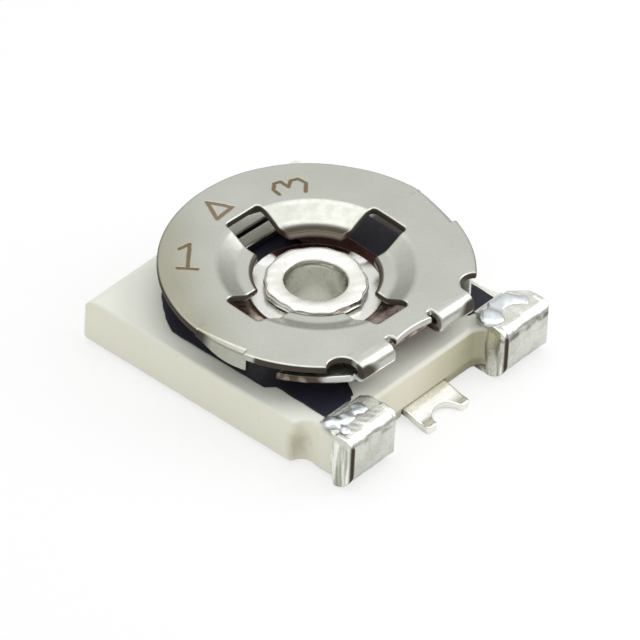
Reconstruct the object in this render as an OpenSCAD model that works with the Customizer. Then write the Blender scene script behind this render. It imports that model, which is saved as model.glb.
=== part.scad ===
// Open-frame trimmer potentiometer, 3 mm class, for surface mounting.
// The origin is on the rotor's axis, in the plane of the solder pads. +Z is up.
// Terminals 1 and 3 and the forked tab of terminal 2 face -Y.

/* [Ceramic base] */
// Width of the ceramic across its long sides
base_w = 2.96; // [2.7:0.01:3.2]
// From the rotor's axis to the back edge of the ceramic
base_back = 1.63; // [1.56:0.01:1.65]
// From the rotor's axis to the front of the two ears
base_front = 1.64; // [1.55:0.01:1.8]
// Thickness of the ceramic
base_t = 0.50; // [0.4:0.01:0.7]
// Height of the ceramic's underside above the circuit board
base_lift = 0.03; // [0.01:0.01:0.05]
// Radius of the upright back corners
back_corner_r = 0.07; // [0.04:0.01:0.15]
// Width of the bevel along the two top side edges
edge_bevel = 0.03; // [0.02:0.005:0.06]
// Width of the wider bevel along the top back edge
back_bevel = 0.16; // [0.08:0.01:0.2]
// How far an ear's outer side lies inside the long side
ear_inset = 0.09; // [0.05:0.01:0.14]
// From the rotor's axis to the small notch on terminal 1's side
notch_y = 1.15; // [0.9:0.01:1.2]
// Radius of that notch
notch_r = 0.12; // [0.08:0.01:0.16]
// Depth of that notch below the ear's outer side
notch_depth = 0.01; // [0.01:0.005:0.05]
// From the rotor's axis to the wider notch on terminal 3's side
notch_3_y = 0.95; // [0.85:0.01:1.0]
// Radius of that wider notch
notch_3_r = 0.60; // [0.4:0.01:0.7]
// Depth of that wider notch below the ear's outer side
notch_3_depth = 0.14; // [0.05:0.01:0.15]
// Width of the recess between the ears
recess_w = 1.64; // [1.4:0.01:1.7]
// From the rotor's axis to the back wall of the recess
recess_back = 1.35; // [1.3:0.01:1.4]
// Radius of the recess's two inner corners
recess_r = 0.15; // [0.05:0.01:0.25]

/* [Resistive track] */
// Thickness of the printed films
film_t = 0.02; // [0.01:0.005:0.03]
// Outer radius of the track
track_r = 1.45; // [1.35:0.01:1.48]
// Inner radius of the track
track_in_r = 0.55; // [0.5:0.01:0.7]
// Bare ceramic between the track's straight sides and the long sides
track_side = 0.19; // [0.15:0.01:0.25]
// Bare ceramic between the track's two front legs and the long sides
leg_side = 0.27; // [0.25:0.01:0.33]
// From the rotor's axis to where those legs begin
leg_y = 0.50; // [0.45:0.01:0.6]
// From the rotor's axis to the front ends of the track
track_front = 1.21; // [1.15:0.01:1.23]
// Half the gap between the track's two ends, as an angle
track_gap_deg = 34; // [28:1:36]
// Width of the slanted corner at each front end
track_slant = 0.04; // [0.02:0.01:0.2]

/* [Terminals 1 and 3] */
// Thickness of the terminal strap
strap_t = 0.06; // [0.05:0.005:0.08]
// How far the strap stands past the ear on each side
strap_over = 0.05; // [0.03:0.01:0.08]
// Length of the strap's cheeks, which close its two sides at the front
cheek_l = 0.20; // [0.12:0.01:0.24]
// Length of the strap's upper flange
strap_top_l = 0.43; // [0.35:0.01:0.5]
// Length of the strap's lower flange
strap_foot_l = 0.48; // [0.4:0.01:0.6]
// Inside radius of the strap's bends
strap_bend_r = 0.07; // [0.03:0.005:0.08]
// How far the upper flange's outer back corner is cut off
strap_clip = 0.16; // [0.05:0.01:0.18]
// How far its inner back corner is cut off
strap_clip_in = 0.07; // [0.03:0.01:0.1]

/* [Centre terminal] */
// Thickness of the centre terminal's sheet
sheet_t = 0.08; // [0.06:0.005:0.1]
// Height of the plate under the ceramic above the board
plate_z = 0.05; // [0.04:0.005:0.07]
// Width of that plate
plate_w = 1.10; // [0.9:0.01:1.2]
// From the rotor's axis to the plate's front shoulder
plate_front = 1.00; // [0.8:0.01:1.1]
// Width of the forked tab
tab_w = 0.60; // [0.4:0.01:0.7]
// From the rotor's axis to the tips of the fork
tab_front = 1.68; // [1.6:0.01:1.75]
// How far the tab's middle lies from the rotor's axis, across
tab_x = 0.05; // [-0.1:0.01:0.1]
// Radius of the bite in the tab's end
fork_r = 0.17; // [0.08:0.01:0.2]
// Width of the rear foot
foot_w = 0.90; // [0.6:0.01:1.0]
// From the rotor's axis to the end of the rear foot
foot_back = 1.70; // [1.65:0.01:1.8]
// Length of the slope between plate and forked tab
tab_slope_l = 0.16; // [0.08:0.01:0.2]
// Length of the slope between plate and rear foot
foot_slope_l = 0.09; // [0.06:0.01:0.12]
// Radius of the eyelet's hole
eyelet_hole_r = 0.30; // [0.25:0.01:0.32]
// Width of the eyelet's rolled flange outside its barrel
flange_w = 0.12; // [0.08:0.01:0.15]
// Thickness of that flange
flange_t = 0.10; // [0.06:0.005:0.11]
// Radius of the rounded mouth of the hole
mouth_r = 0.08; // [0.02:0.005:0.09]

/* [Rotor] */
// Radius of the rotor's disc
rotor_r = 1.52; // [1.4:0.01:1.6]
// Thickness of the rotor's sheet
rotor_t = 0.08; // [0.06:0.005:0.09]
// Rest angle of the rotor, counter-clockwise from above
rest_deg = -3; // [-180:1:180]
// From the wiper ring's underside to the disc's underside
rotor_rise = 0.29; // [0.26:0.01:0.35]
// Gap between the disc and the sheet folded under it
fold_gap = 0.08; // [0.03:0.005:0.09]
// How far inside the rim the sheet starts to fold
fold_in = 0.28; // [0.22:0.01:0.3]
// Half the gap between the two folded bridges
bridge_in = 0.31; // [0.25:0.01:0.35]
// From the rotor's middle line to the bridges' outer ends
bridge_out = 0.76; // [0.7:0.01:0.8]
// Radius of the relief notch beside each bridge
relief_r = 0.145; // [0.08:0.005:0.15]
// How far inside the rim the hollow edge between the bridges lies
scallop_in = 0.26; // [0.22:0.01:0.28]
// Radius of that hollow edge
scallop_r = 1.00; // [0.8:0.05:1.5]
// Radius of the small nicks at the hollow edge's ends
nick_r = 0.04; // [0.03:0.005:0.06]
// Width of the dish's flat floor round the opening
dish_floor_w = 0.15; // [0.1:0.01:0.2]
// Width of the dish's sloping wall, seen from above
dish_wall_w = 0.20; // [0.15:0.01:0.25]
// Depth of the dish
dish_depth = 0.11; // [0.09:0.01:0.14]
// Gap between the eyelet's flange and the opening in the dish
opening_gap = 0.10; // [0.06:0.01:0.15]
// Width of the cross-shaped driver slot
slot_w = 0.43; // [0.3:0.01:0.5]
// How far the driver slot runs past the crease
slot_over = 0.05; // [0.03:0.01:0.15]
// Radius of the driver slot's corners
slot_corner_r = 0.04; // [0.02:0.005:0.06]
// Width, as an angle, of the lip bent down on each side
lip_deg = 18; // [10:1:22]
// Height of that lip below the disc
lip_h = 0.14; // [0.08:0.01:0.16]
// How far the lip lies inside the rim
lip_inset = 0.03; // [0.01:0.01:0.05]

/* [Wiper, folded under the disc] */
// How far inside the rim the folded sheet ends
under_in = 0.05; // [0.04:0.01:0.2]
// Width of its crescent
under_w = 0.45; // [0.38:0.01:0.47]
// From the rotor's axis to the crescent's back ends
under_y = 0.64; // [0.5:0.01:0.75]
// How far inside the rim the sheet's front edge lies, between the bridges
under_front_in = 0.35; // [0.32:0.01:0.4]
// Width of the neck that slopes down to the ring
neck_w = 0.90; // [0.7:0.01:1.0]
// From the rotor's axis to the foot of that slope
neck_y = 0.70; // [0.68:0.01:0.72]
// How far the ring reaches out past the eyelet's flange that holds it
ring_over = 0.10; // [0.06:0.01:0.12]
// Height of the ring above the track
ring_lift = 0.06; // [0.05:0.005:0.1]
// How far the spring arms lie below the ring
arm_drop = 0.03; // [0.01:0.005:0.035]
// Width over the two spring arms
arms_w = 1.60; // [1.4:0.01:1.7]
// From the rotor's axis to the front ends of the arms
arm_front = 0.25; // [0.15:0.01:0.35]
// From the rotor's axis to the slit between the fingers
slit_y = 1.06; // [1.0:0.01:1.1]
// Width of that slit
slit_w = 0.05; // [0.03:0.005:0.06]
// Length of that slit
slit_l = 1.10; // [0.9:0.01:1.2]
// Width of the inner finger, to the middle of the slit
finger_in_w = 0.18; // [0.14:0.01:0.2]
// Width of the outer finger, from the middle of the slit
finger_out_w = 0.20; // [0.14:0.01:0.22]
// Width of the window between ring and fingers
window_w = 0.84; // [0.6:0.01:1.0]
// Radius of each contact dimple's ball
dimple_r = 0.09; // [0.07:0.01:0.12]

/* [Fits] */
// Clearance between the wiper ring and the eyelet, on the radius
turn_fit = 0.02; // [0.015:0.005:0.03]
// Clearance between the wiper ring and the flange above it
flange_fit = 0.015; // [0.01:0.005:0.03]
// Clearance between a contact dimple and the track
contact_fit = 0.01; // [0.005:0.005:0.02]
// Clearance between the eyelet and the hole in the ceramic
hole_fit = 0.02; // [0.01:0.005:0.04]
// Clearance beside the plate in its groove
groove_fit = 0.02; // [0.01:0.005:0.04]
// Margin of the printed pad inside the ear's sides
pad_margin = 0.09; // [0.08:0.01:0.15]

/* [Hidden] */
$fn = 96;
over = 1;
ear_x = base_w / 2 - ear_inset;
base_top = base_lift + base_t;
film_top = base_top + film_t;
strap_front = base_front + strap_t;
strap_in_x = recess_w / 2 - strap_over;
strap_out_x = ear_x + strap_over;
strap_top = film_top + strap_t;
plate_top = plate_z + sheet_t;
barrel_r = eyelet_hole_r + sheet_t;
flange_r = barrel_r + flange_w;
ring_r = flange_r + ring_over;
opening_r = flange_r + opening_gap;
ring_z = film_top + ring_lift;
flange_z = ring_z + rotor_t + flange_fit;
flange_top = flange_z + flange_t;
arm_z = ring_z - arm_drop;
disc_z = ring_z + rotor_rise;
disc_top = disc_z + rotor_t;
under_z = disc_z - fold_gap - rotor_t;
fold_z = disc_z - fold_gap / 2;
fold_r = rotor_t + fold_gap / 2;
rim_round = rotor_t / 4;
fold_y = rotor_r - fold_in;
scallop_y = rotor_r - scallop_in;
dish_floor_r = opening_r + dish_floor_w;
dish_r = dish_floor_r + dish_wall_w;
slot_tip_r = dish_r + slot_over;
under_r = rotor_r - under_in;
under_in_r = under_r - under_w;
under_front = rotor_r - under_front_in;
window_y = slit_y - finger_in_w;
finger_r = slit_y + finger_out_w;
relief_x = bridge_out + relief_r;
relief_y = sqrt(rotor_r * rotor_r - relief_x * relief_x);
nick_x = bridge_in - 0.7 * nick_r;
lump_h = 0.05;
// Solder lumps on each strap, as shares of its width and of its flange's
// length from the inner back corner, with the radius of each ball
lumps_1 = [[0.86, 0.10, 0.07], [0.66, 0.16, 0.09], [0.80, 0.48, 0.06], [0.30, 0.20, 0.08]];
lumps_3 = [[0.16, 0.14, 0.09], [0.34, 0.22, 0.07], [0.56, 0.10, 0.08], [0.74, 0.38, 0.06]];

// A long bar with a section drawn in Y and Z, run along X from x0 to x1
module along_x(x0, x1) {
    translate([x0, 0, 0])
        rotate([90, 0, 90])
            linear_extrude(x1 - x0)
                children();
}

// The ceramic seen from above
module base_plan() {
    round_x = base_w / 2 - back_corner_r;
    round_y = base_back - back_corner_r;
    difference() {
        union() {
            translate([-base_w / 2, -base_front])
                square([base_w, base_front + round_y]);
            translate([-round_x, -base_front])
                square([2 * round_x, base_front + base_back]);
            for (side = [-1, 1])
                translate([side * round_x, round_y])
                    circle(r = back_corner_r);
        }
        for (side = [-1, 1])
            translate([side * (ear_x + over / 2), -notch_y - over / 2])
                square([over, over], center = true);
        translate([-ear_x - notch_r + notch_depth, -notch_y])
            circle(r = notch_r);
        translate([ear_x + notch_3_r - notch_3_depth, -notch_3_y])
            circle(r = notch_3_r);
        recess_plan();
    }
}

// The recess between the ears, with its rounded inner corners
module recess_plan() {
    straight_y = recess_back + recess_r;
    translate([-recess_w / 2, -straight_y - over])
        square([recess_w, over]);
    translate([-recess_w / 2 + recess_r, -straight_y])
        square([recess_w - 2 * recess_r, recess_r]);
    for (side = [-1, 1])
        translate([side * (recess_w / 2 - recess_r), -straight_y])
            circle(r = recess_r);
}

// Bevels along the ceramic's back and side top edges
module top_bevels() {
    side_l = notch_y + base_back + over;
    translate([0, base_back, base_top])
        rotate([45, 0, 0])
            cube([base_w + over, back_bevel * sqrt(2), back_bevel * sqrt(2)], center = true);
    for (side = [-1, 1])
        translate([side * base_w / 2, side_l / 2 - notch_y, base_top])
            rotate([0, 45, 0])
                cube([edge_bevel * sqrt(2), side_l, edge_bevel * sqrt(2)], center = true);
}

// Bevels on the ears' front edges, which clear the inside of the straps' bends
module ear_bevels() {
    size = strap_bend_r * sqrt(2);
    for (z = [strap_t, base_top])
        translate([0, -base_front, z])
            rotate([45, 0, 0])
                cube([base_w + over, size, size], center = true);
}

// The centre terminal's plate seen from above, wider by fit on each side
module plate_plan(fit) {
    translate([-plate_w / 2 - fit, -plate_front - fit])
        square([plate_w + 2 * fit, plate_front + base_back + 2 * fit]);
    translate([tab_x - tab_w / 2 - fit, -base_front - over])
        square([tab_w + 2 * fit, base_front + over]);
}

module ceramic_base() {
    color([0.86, 0.86, 0.80])
        difference() {
            translate([0, 0, base_lift])
                linear_extrude(base_t)
                    difference() {
                        base_plan();
                        circle(r = barrel_r + hole_fit);
                    }
            top_bevels();
            ear_bevels();
            translate([0, 0, plate_top - over])
                linear_extrude(over)
                    plate_plan(groove_fit);
            for (side = [-1, 1])
                translate([side * (strap_in_x - groove_fit + over / 2), -strap_front, 0])
                    cube([over, 2 * strap_foot_l + 2 * groove_fit, 2 * strap_t], center = true);
        }
}

module resistive_track() {
    end_x = base_w / 2 - track_side;
    leg_x = base_w / 2 - leg_side;
    gap_x = track_front * tan(track_gap_deg);
    color([0.06, 0.06, 0.09])
        translate([0, 0, base_top])
            linear_extrude(film_t)
                difference() {
                    union() {
                        intersection() {
                            circle(r = track_r);
                            translate([-end_x, -leg_y])
                                square([2 * end_x, leg_y + track_r]);
                        }
                        translate([-leg_x, -track_front])
                            square([2 * leg_x, track_front]);
                    }
                    circle(r = track_in_r);
                    polygon([[0, 0], [-gap_x, -track_front], [-gap_x, -2 * track_r],
                             [gap_x, -2 * track_r], [gap_x, -track_front]]);
                    for (side = [-1, 1])
                        translate([side * gap_x, -track_front])
                            rotate(45)
                                square(track_slant * sqrt(2), center = true);
                    translate([-track_r, -track_front - over])
                        square([2 * track_r, over]);
                }
}

// Printed silver pad on an ear, from the track's end to the front bevel
module electrode(side) {
    pad_l = base_front - strap_bend_r - track_front;
    pad_w = ear_x - recess_w / 2 - 2 * pad_margin;
    color([0.72, 0.72, 0.70])
        translate([side * (recess_w / 2 + ear_x) / 2, -track_front - pad_l / 2, base_top + film_t / 2])
            cube([pad_w, pad_l, film_t], center = true);
}

module electrode_1() { electrode(-1); }
module electrode_3() { electrode(1); }

// Outline of the strap seen from its side, l long, with its two rounded front corners
module strap_outline(l) {
    out_r = strap_bend_r + strap_t;
    intersection() {
        translate([-strap_front, 0])
            square([l, strap_top]);
        union() {
            translate([-strap_front, out_r])
                square([l, strap_top - 2 * out_r]);
            translate([-strap_front + out_r, 0])
                square([l, strap_top]);
            for (z = [out_r, strap_top - out_r])
                translate([-strap_front + out_r, z])
                    circle(r = out_r);
        }
    }
}

// Section of the strap that wraps round an ear: upper flange, front and foot
module strap_section() {
    difference() {
        strap_outline(strap_foot_l);
        translate([-base_front, strap_t + strap_bend_r])
            square([over, film_top - strap_t - 2 * strap_bend_r]);
        translate([-base_front + strap_bend_r, strap_t])
            square([over, film_top - strap_t]);
        for (z = [strap_t + strap_bend_r, film_top - strap_bend_r])
            translate([-base_front + strap_bend_r, z])
                circle(r = strap_bend_r);
        translate([-strap_front + strap_top_l, strap_t + strap_bend_r])
            square([over, over]);
    }
}

// A plate or strap drawn from its side, between two distances from the middle plane
module on_side(side, x_in, x_out) {
    along_x(side > 0 ? x_in : -x_out, side > 0 ? x_out : -x_in)
        children();
}

// A terminal strap with its two cheeks, its upper flange narrower at the back
module strap(side) {
    flange_back = -strap_front + strap_top_l;
    difference() {
        union() {
            on_side(side, strap_in_x, strap_out_x) strap_section();
            on_side(side, strap_in_x, recess_w / 2) strap_outline(cheek_l);
            on_side(side, ear_x, strap_out_x) strap_outline(cheek_l);
        }
        for (corner = [[strap_in_x, strap_clip_in], [strap_out_x, strap_clip]])
            translate([side * corner[0], flange_back, film_top])
                rotate(45)
                    cube([corner[1] * sqrt(2), corner[1] * sqrt(2), 4 * strap_t], center = true);
    }
}

module terminal_1() { color([0.74, 0.74, 0.70]) strap(-1); }
module terminal_3() { color([0.74, 0.74, 0.70]) strap(1); }

// Lumps of tin on a strap's upper flange, cut flat where they lie on it
module solder(side, lumps) {
    flange_back = -strap_front + strap_top_l;
    width = strap_out_x - strap_in_x;
    color([0.80, 0.81, 0.80])
        difference() {
            for (lump = lumps)
                translate([side * (strap_in_x + lump[0] * width),
                           flange_back - lump[2] - lump[1] * (strap_top_l - 2 * lump[2]),
                           strap_top + lump_h - lump[2]])
                    rotate([90, 0, 0])
                        sphere(r = lump[2]);
            translate([0, 0, strap_top - over])
                cube([2 * base_w, 4 * base_front, 2 * over], center = true);
        }
}

module solder_1() { solder(-1, lumps_1); }
module solder_3() { solder(1, lumps_3); }

// Side section of the centre terminal: forked tab, plate and rear foot
module plate_section() {
    tab_y = recess_back + strap_t;
    foot_y = base_back - 2 * foot_slope_l;
    polygon([[-tab_front, 0], [-tab_y - tab_slope_l, 0], [-tab_y, plate_z],
             [foot_y, plate_z], [foot_y + foot_slope_l, 0], [foot_back, 0],
             [foot_back, sheet_t], [foot_y + foot_slope_l, sheet_t], [foot_y, plate_top],
             [-tab_y, plate_top], [-tab_y - tab_slope_l, sheet_t], [-tab_front, sheet_t]]);
}

// Half section of the eyelet: barrel, rolled flange and rounded mouth
module eyelet_section() {
    difference() {
        union() {
            translate([eyelet_hole_r, plate_z])
                square([sheet_t, flange_top - plate_z]);
            translate([eyelet_hole_r, flange_z])
                square([flange_r - flange_t / 2 - eyelet_hole_r, flange_t]);
            translate([flange_r - flange_t / 2, flange_z + flange_t / 2])
                circle(r = flange_t / 2);
        }
        difference() {
            translate([eyelet_hole_r - mouth_r, flange_top - mouth_r])
                square([2 * mouth_r, 2 * mouth_r]);
            translate([eyelet_hole_r + mouth_r, flange_top - mouth_r])
                circle(r = mouth_r);
        }
    }
}

module center_terminal() {
    color([0.76, 0.76, 0.72])
        difference() {
            union() {
                intersection() {
                    along_x(-plate_w / 2, plate_w / 2) plate_section();
                    linear_extrude(over) {
                        plate_plan(0);
                        translate([-foot_w / 2, 0])
                            square([foot_w, foot_back]);
                    }
                }
                rotate_extrude() eyelet_section();
            }
            translate([0, 0, -over])
                cylinder(r = eyelet_hole_r, h = over + plate_top);
            translate([tab_x, -tab_front, -over])
                cylinder(r = fork_r, h = 2 * over);
        }
}

// Half section of the disc: opening, dish floor, dish wall and rounded rim
module disc_section() {
    edge_r = rotor_r - rim_round;
    polygon([[opening_r, disc_z - dish_depth], [dish_floor_r, disc_z - dish_depth],
             [dish_r, disc_z], [edge_r, disc_z], [edge_r, disc_top], [dish_r, disc_top],
             [dish_floor_r, disc_top - dish_depth], [opening_r, disc_top - dish_depth]]);
    translate([edge_r, disc_z + rim_round])
        square([rim_round, rotor_t - 2 * rim_round]);
    for (z = [disc_z + rim_round, disc_top - rim_round])
        translate([edge_r, z])
            circle(r = rim_round);
}

// Driver slot: a cross with rounded corners at its tips
module slot_plan() {
    half = slot_w / 2;
    for (turn = [0, 90, 180, 270])
        rotate(turn) {
            translate([0, -half])
                square([slot_tip_r - slot_corner_r, slot_w]);
            translate([0, -half + slot_corner_r])
                square([slot_tip_r, slot_w - 2 * slot_corner_r]);
            for (side = [-1, 1])
                translate([slot_tip_r - slot_corner_r, side * (half - slot_corner_r)])
                    circle(r = slot_corner_r);
        }
}

// What is cut from the front of the disc: hollow edge, nicks and relief notches
module disc_cuts() {
    difference() {
        translate([-relief_x, -fold_y - over])
            square([2 * relief_x, over]);
        translate([-bridge_in, -fold_y - over])
            square([2 * bridge_in, over]);
    }
    translate([0, -scallop_y - scallop_r])
        circle(r = scallop_r);
    for (side = [-1, 1]) {
        translate([side * nick_x, -fold_y])
            circle(r = nick_r);
        translate([side * nick_x - nick_r, -fold_y - over])
            square([2 * nick_r, over]);
        translate([side * relief_x, -relief_y])
            circle(r = relief_r);
    }
}

// The two sectors of the rim that are bent down
module lip_plan() {
    far = 2 * rotor_r;
    for (side = [-1, 1])
        polygon([[0, 0], [side * far, 0],
                 [side * far * cos(lip_deg), -far * sin(lip_deg)]]);
}

// The disc with its dish, slot and front cuts, and its two lips
module disc() {
    lip_r = rotor_r - lip_inset;
    difference() {
        rotate_extrude() disc_section();
        translate([0, 0, disc_z - over])
            linear_extrude(2 * over) {
                slot_plan();
                disc_cuts();
                difference() {
                    lip_plan();
                    circle(r = lip_r);
                }
            }
    }
    intersection() {
        translate([0, 0, disc_z - lip_h])
            linear_extrude(lip_h + rotor_t / 2)
                difference() {
                    circle(r = lip_r);
                    circle(r = lip_r - rotor_t);
                }
        translate([0, 0, disc_z - lip_h])
            linear_extrude(lip_h + rotor_t)
                lip_plan();
    }
}

// One folded bridge between the disc and the sheet under it
module bridge(side) {
    x0 = side > 0 ? bridge_in : -bridge_out;
    along_x(x0, x0 + bridge_out - bridge_in)
        difference() {
            translate([-fold_y, fold_z])
                circle(r = fold_r);
            translate([-fold_y, fold_z])
                circle(r = fold_gap / 2);
            translate([-fold_y, fold_z - over])
                square([over, 2 * over]);
        }
}

// The folded-under sheet in front: a crescent and the neck that slopes to the ring
module under_sheet() {
    translate([0, 0, under_z])
        linear_extrude(rotor_t)
            difference() {
                union() {
                    intersection() {
                        circle(r = under_r);
                        translate([-under_r, -fold_y])
                            square([2 * under_r, fold_y - under_y]);
                    }
                    translate([-bridge_out, -fold_y])
                        square([2 * bridge_out, fold_y - under_in_r]);
                }
                circle(r = under_in_r);
                translate([-bridge_in, -under_front - over])
                    square([2 * bridge_in, over]);
            }
    along_x(-neck_w / 2, neck_w / 2)
        polygon([[-under_in_r - rotor_t, under_z], [-under_in_r + rotor_t / 2, under_z],
                 [-neck_y, ring_z], [-barrel_r - turn_fit, ring_z],
                 [-barrel_r - turn_fit, ring_z + rotor_t], [-neck_y, ring_z + rotor_t],
                 [-under_in_r + rotor_t / 2, under_z + rotor_t],
                 [-under_in_r - rotor_t, under_z + rotor_t]]);
}

// The spring arms and contact fingers seen from above
module arms_plan() {
    difference() {
        intersection() {
            circle(r = finger_r);
            translate([-arms_w / 2, -arm_front])
                square([arms_w, arm_front + finger_r]);
        }
        circle(r = ring_r - rotor_t / 2);
        translate([-window_w / 2, 0])
            square([window_w, window_y]);
        translate([-slit_l / 2, slit_y - slit_w / 2])
            square([slit_l, slit_w]);
    }
}

// The ring, the spring arms and the contact dimples that run on the track
module wiper() {
    finger_mid = (slit_y + window_y) / 2;
    translate([0, 0, ring_z])
        linear_extrude(rotor_t)
            circle(r = ring_r);
    translate([0, 0, arm_z])
        linear_extrude(rotor_t)
            arms_plan();
    for (y = [finger_mid, 2 * slit_y - finger_mid])
        intersection() {
            translate([0, y, film_top + contact_fit + dimple_r])
                rotate([90, 0, 0])
                    sphere(r = dimple_r);
            translate([0, y, arm_z])
                cube([2 * dimple_r, 2 * dimple_r, rotor_t], center = true);
        }
}

module rotor() {
    color([0.73, 0.73, 0.69])
        rotate(rest_deg) {
            disc();
            bridge(-1);
            bridge(1);
            difference() {
                union() {
                    under_sheet();
                    wiper();
                }
                cylinder(r = barrel_r + turn_fit, h = disc_z);
            }
        }
}

ceramic_base();
resistive_track();
electrode_1();
electrode_3();
terminal_1();
terminal_3();
solder_1();
solder_3();
center_terminal();
rotor();
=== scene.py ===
"""Looks of the trimmer potentiometer: fine meshes, materials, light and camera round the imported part.

Shapes are written as signed distances in millimetres, as part.scad has them, and meshed here.
"""

import math

import bpy
import numpy as np
from mathutils import Matrix, Vector


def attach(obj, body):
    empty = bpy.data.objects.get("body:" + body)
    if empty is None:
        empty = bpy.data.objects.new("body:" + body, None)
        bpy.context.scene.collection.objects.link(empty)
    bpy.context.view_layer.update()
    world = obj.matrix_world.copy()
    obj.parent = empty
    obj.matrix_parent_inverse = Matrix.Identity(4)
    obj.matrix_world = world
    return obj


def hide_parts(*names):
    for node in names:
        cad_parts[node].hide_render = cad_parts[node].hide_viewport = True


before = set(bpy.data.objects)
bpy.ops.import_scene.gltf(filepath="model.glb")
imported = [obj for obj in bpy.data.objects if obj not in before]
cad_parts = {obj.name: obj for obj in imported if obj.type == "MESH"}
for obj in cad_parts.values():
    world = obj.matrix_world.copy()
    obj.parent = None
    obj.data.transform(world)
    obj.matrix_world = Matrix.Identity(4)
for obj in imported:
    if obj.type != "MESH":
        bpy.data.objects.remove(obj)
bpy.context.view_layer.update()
scene = bpy.context.scene
MM = 0.001
FINE = 1.0

# Sizes, as in part.scad
base_w, base_back, base_front, base_lift, base_top = 2.96, 1.63, 1.64, 0.03, 0.53
back_corner_r, back_round = 0.07, 0.20
ear_x, notch_y, notch_r, notch_depth = 1.39, 1.15, 0.12, 0.01
notch_3_y, notch_3_r, notch_3_depth = 0.95, 0.60, 0.14
recess_w, recess_back, recess_r = 1.64, 1.35, 0.15
film_t, film_top = 0.02, 0.55
track_r, track_in_r, track_x, track_front, track_gap, track_slant = 1.45, 0.55, 1.29, 1.21, 34, 0.04
leg_x, leg_y = 1.21, 0.50
strap_t, strap_in_x, strap_out_x, strap_front, strap_top = 0.06, 0.77, 1.44, 1.70, 0.61
strap_top_l, strap_foot_l, strap_bend_r, cheek_l = 0.43, 0.48, 0.07, 0.20
low_bend_r, ear_shift = 0.16, 0.03
sheet_t, plate_z, plate_w, plate_front = 0.08, 0.05, 1.10, 1.00
tab_x, tab_w, tab_front, tab_y, tab_slope, fork_r = 0.05, 0.60, 1.68, 1.41, 0.16, 0.17
foot_w, foot_back, foot_slope, foot_y = 0.90, 1.70, 0.09, 1.45
hole_r, barrel_r, flange_r, flange_z, flange_top, mouth_r = 0.30, 0.38, 0.50, 0.705, 0.805, 0.08
rotor_r, rotor_t, disc_z, disc_top, rest_deg = 1.52, 0.08, 0.90, 0.98, -3
fold_y, fold_z, fold_r, bridge_in, bridge_out = 1.24, 0.86, 0.12, 0.31, 0.76
relief_r, scallop_y, scallop_r, nick_r = 0.145, 1.26, 1.00, 0.04
dish_r, dish_floor_r, dish_depth, opening_r = 0.95, 0.75, 0.11, 0.60
slot_w, slot_tip_r, slot_corner_r = 0.43, 1.00, 0.04
lip_deg, lip_h, lip_r, lip_start = 18, 0.14, 1.49, 0.12
under_z, under_r, under_in_r, under_y, under_front = 0.74, 1.47, 1.02, 0.72, 1.17
neck_w, neck_y, ring_r, ring_z, arm_z, ring_hole_r, ring_edge_r = 0.90, 0.70, 0.60, 0.61, 0.58, 0.40, 0.66
arms_w, arm_front, finger_r = 1.60, 0.25, 1.26
slit_y, slit_w, slit_l, window_w, window_y = 1.06, 0.05, 1.10, 0.84, 0.88
# Sizes that only the looks have
clearance, groove_top, pocket_tuck, foot_tuck = 0.02, 0.13, 0.10, 0.12
flange_corner_out, flange_corner_in, cheek_bulge = 0.16, 0.07, 0.05
mark_depth, etch_line = 0.003, 0.013
relief_x = bridge_out + relief_r
relief_y = math.sqrt(rotor_r ** 2 - relief_x ** 2)
nick_x = bridge_in - 0.7 * nick_r


# Distance helpers
def length(a, b):
    return np.sqrt(a * a + b * b)


def both(a, b, r=0.0):
    """What lies in both, its outer edge rounded by r."""
    if r == 0:
        return np.maximum(a, b)
    return np.minimum(np.maximum(a, b), -r) + length(np.maximum(a + r, 0), np.maximum(b + r, 0))


def join(a, b, r=0.0):
    """What lies in either, its inner corner filled by r."""
    if r == 0:
        return np.minimum(a, b)
    return np.maximum(np.minimum(a, b), r) - length(np.maximum(r - a, 0), np.maximum(r - b, 0))


def cut(a, b, r=0.0):
    """The first without the second."""
    return both(a, -b, r)


def rect(x, y, x0, x1, y0, y1, r=0.0):
    qx = np.abs(x - (x0 + x1) / 2) - (x1 - x0) / 2 + r
    qy = np.abs(y - (y0 + y1) / 2) - (y1 - y0) / 2 + r
    return np.minimum(np.maximum(qx, qy), 0) + length(np.maximum(qx, 0), np.maximum(qy, 0)) - r


def ramp(v, v0, v1, soft):
    """0 before v0, 1 after v1, with both knees softened."""
    s = (v - v0) / (v1 - v0)

    def smooth_max(a, b):
        h = np.maximum(soft - np.abs(a - b), 0) / soft
        return np.maximum(a, b) + h * h * soft / 4

    return 1 - smooth_max(1 - smooth_max(s, 0 * s), 0 * s)


def waves(x, y, z, size, seed):
    """Smooth, seeded unevenness between about -1 and 1."""
    rng = np.random.default_rng(seed)
    total = 0
    for _ in range(6):
        k = rng.normal(size=3)
        k *= 2 * math.pi / size * rng.uniform(0.6, 1.5) / np.linalg.norm(k)
        total = total + np.sin(k[0] * x + k[1] * y + k[2] * z + rng.uniform(0, 6.28))
    return total / 3


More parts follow.
